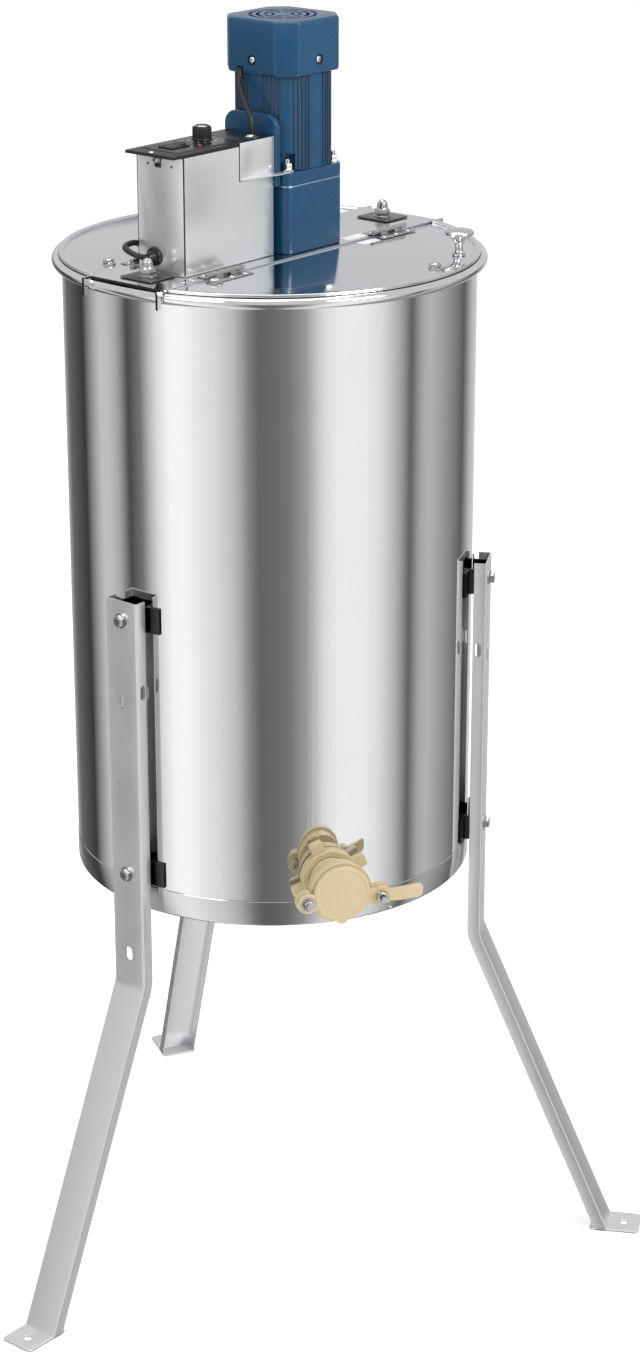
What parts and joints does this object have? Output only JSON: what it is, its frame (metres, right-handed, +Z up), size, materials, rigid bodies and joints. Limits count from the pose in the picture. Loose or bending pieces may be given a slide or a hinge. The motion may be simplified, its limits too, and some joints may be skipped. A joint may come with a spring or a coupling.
{
  "type": "honey extractor",
  "caption": "Motor-driven honey extractor: steel drum on splayed legs with a bridge, gear-motor, control box, hinged lids and honey gate.",
  "frame": {"origin": "on the floor under the middle of the whole machine's outline; the drum's axis stands 61 mm in front of it (towards -Y)", "axes": "+Z up along the drum; -Y is the front, where the honey gate is; +X is the viewer's right when facing the gate"},
  "size_m": [0.68, 0.6447, 1.2239],
  "materials": {
    "polished_steel": "mirror-polished stainless sheet",
    "satin_steel": "satin stainless, lightly brushed",
    "bolt_steel": "bright stainless fasteners and turned steel",
    "blue_paint": "slate-blue semi-gloss enamel on cast alloy",
    "gear_iron": "machined steel and iron, lightly oiled",
    "black_plastic": "black moulded plastic and powder-coated plate",
    "cable_rubber": "black flexible cable sheath",
    "cream_plastic": "cream food-grade moulded plastic",
    "white_nylon": "white nylon",
    "circuit_board": "green circuit board"
  },
  "bodies": {
    "frame": {"drum_wall": "polished_steel", "drum_floor": "polished_steel", "bridge": "polished_steel", "control_box": "polished_steel", "base_band": "satin_steel", "leg_rear": "satin_steel", "leg_front_left": "satin_steel", "leg_front_right": "satin_steel", "leg_rear_upper_bracket": "satin_steel", "leg_rear_lower_bracket": "satin_steel", "leg_front_left_upper_bracket": "satin_steel", "leg_front_left_lower_bracket": "satin_steel", "leg_front_right_upper_bracket": "satin_steel", "leg_front_right_lower_bracket": "satin_steel", "front_near_hinge_base": "satin_steel", "front_far_hinge_base": "satin_steel", "back_near_hinge_base": "satin_steel", "back_far_hinge_base": "satin_steel", "bearing_seat": "bolt_steel", "gate_pivot_bolt": "bolt_steel", "bridge_bolt_near": "bolt_steel", "bridge_bolt_far": "bolt_steel", "gearbox_case": "blue_paint", "gearbox_cover": "blue_paint", "motor_case": "blue_paint", "fan_cover": "blue_paint", "terminal_plate": "blue_paint", "box_top_plate": "black_plastic", "mains_gland": "black_plastic", "mains_plug": "black_plastic", "motor_lead": "cable_rubber", "mains_cord": "cable_rubber", "cord_hank": "cable_rubber", "gate_body": "cream_plastic", "gate_lock_nut": "cream_plastic", "bearing_bush": "white_nylon", "speed_controller": "circuit_board"},
    "basket": {"top_spider": "satin_steel", "bottom_spider": "satin_steel", "front_screen": "satin_steel", "back_screen": "satin_steel", "basket_shaft": "bolt_steel", "shaft_coupling": "bolt_steel", "output_shaft": "bolt_steel", "output_gear": "gear_iron"},
    "rotor": {"motor_rotor": "gear_iron", "drive_pinion": "gear_iron", "cooling_fan": "black_plastic"},
    "front_lid": {"front_lid": "polished_steel", "front_lid_knob": "bolt_steel", "front_near_hinge_leaf": "satin_steel", "front_far_hinge_leaf": "satin_steel"},
    "back_lid": {"back_lid": "polished_steel", "back_lid_knob": "bolt_steel", "back_near_hinge_leaf": "satin_steel", "back_far_hinge_leaf": "satin_steel"},
    "speed_knob": {"speed_knob": "black_plastic"},
    "power_switch": {"power_switch": "black_plastic"},
    "gate_shutter": {"gate_shutter": "cream_plastic"},
    "gate_wing_nut": {"gate_wing_nut": "bolt_steel"}
  },
  "joints": [
    {"name": "basket_spin", "type": "hinge", "parent": "frame", "child": "basket", "pos_m": [0, -0.06115, 0.7], "axis": [0, 0, 1], "continuous": true},
    {"name": "rotor_spin", "type": "hinge", "parent": "frame", "child": "rotor", "pos_m": [0.01732, -0.05115, 1.1309], "axis": [0, 0, 1], "continuous": true},
    {"name": "front_lid_hinge", "type": "hinge", "parent": "frame", "child": "front_lid", "pos_m": [0.02315, -0.10125, 1.0139], "axis": [-0.866, -0.5, 0], "range_deg": [0, 86]},
    {"name": "back_lid_hinge", "type": "hinge", "parent": "frame", "child": "back_lid", "pos_m": [-0.02315, -0.02105, 1.0139], "axis": [0.866, 0.5, 0], "range_deg": [0, 86]},
    {"name": "speed_knob_turn", "type": "hinge", "parent": "frame", "child": "speed_knob", "pos_m": [-0.07748, -0.09895, 1.1229], "axis": [0, 0, -1], "range_deg": [0, 270]},
    {"name": "power_switch_rock", "type": "hinge", "parent": "frame", "child": "power_switch", "pos_m": [-0.11149, -0.12205, 1.1209], "axis": [-0.5, 0.866, 0], "range_deg": [0, 14]},
    {"name": "gate_swing", "type": "hinge", "parent": "frame", "child": "gate_shutter", "pos_m": [-0.04979, -0.30006, 0.446], "axis": [-0.0698, -0.9976, 0], "range_deg": [0, 80]},
    {"name": "wing_nut_turn", "type": "hinge", "parent": "frame", "child": "gate_wing_nut", "pos_m": [0.02067, -0.3103, 0.446], "axis": [-0.0698, -0.9976, 0], "range_deg": [0, 540]}
  ],
  "couplings": [
    {"joint": "rotor_spin", "follows": "basket_spin", "ratio": -3}
  ]
}
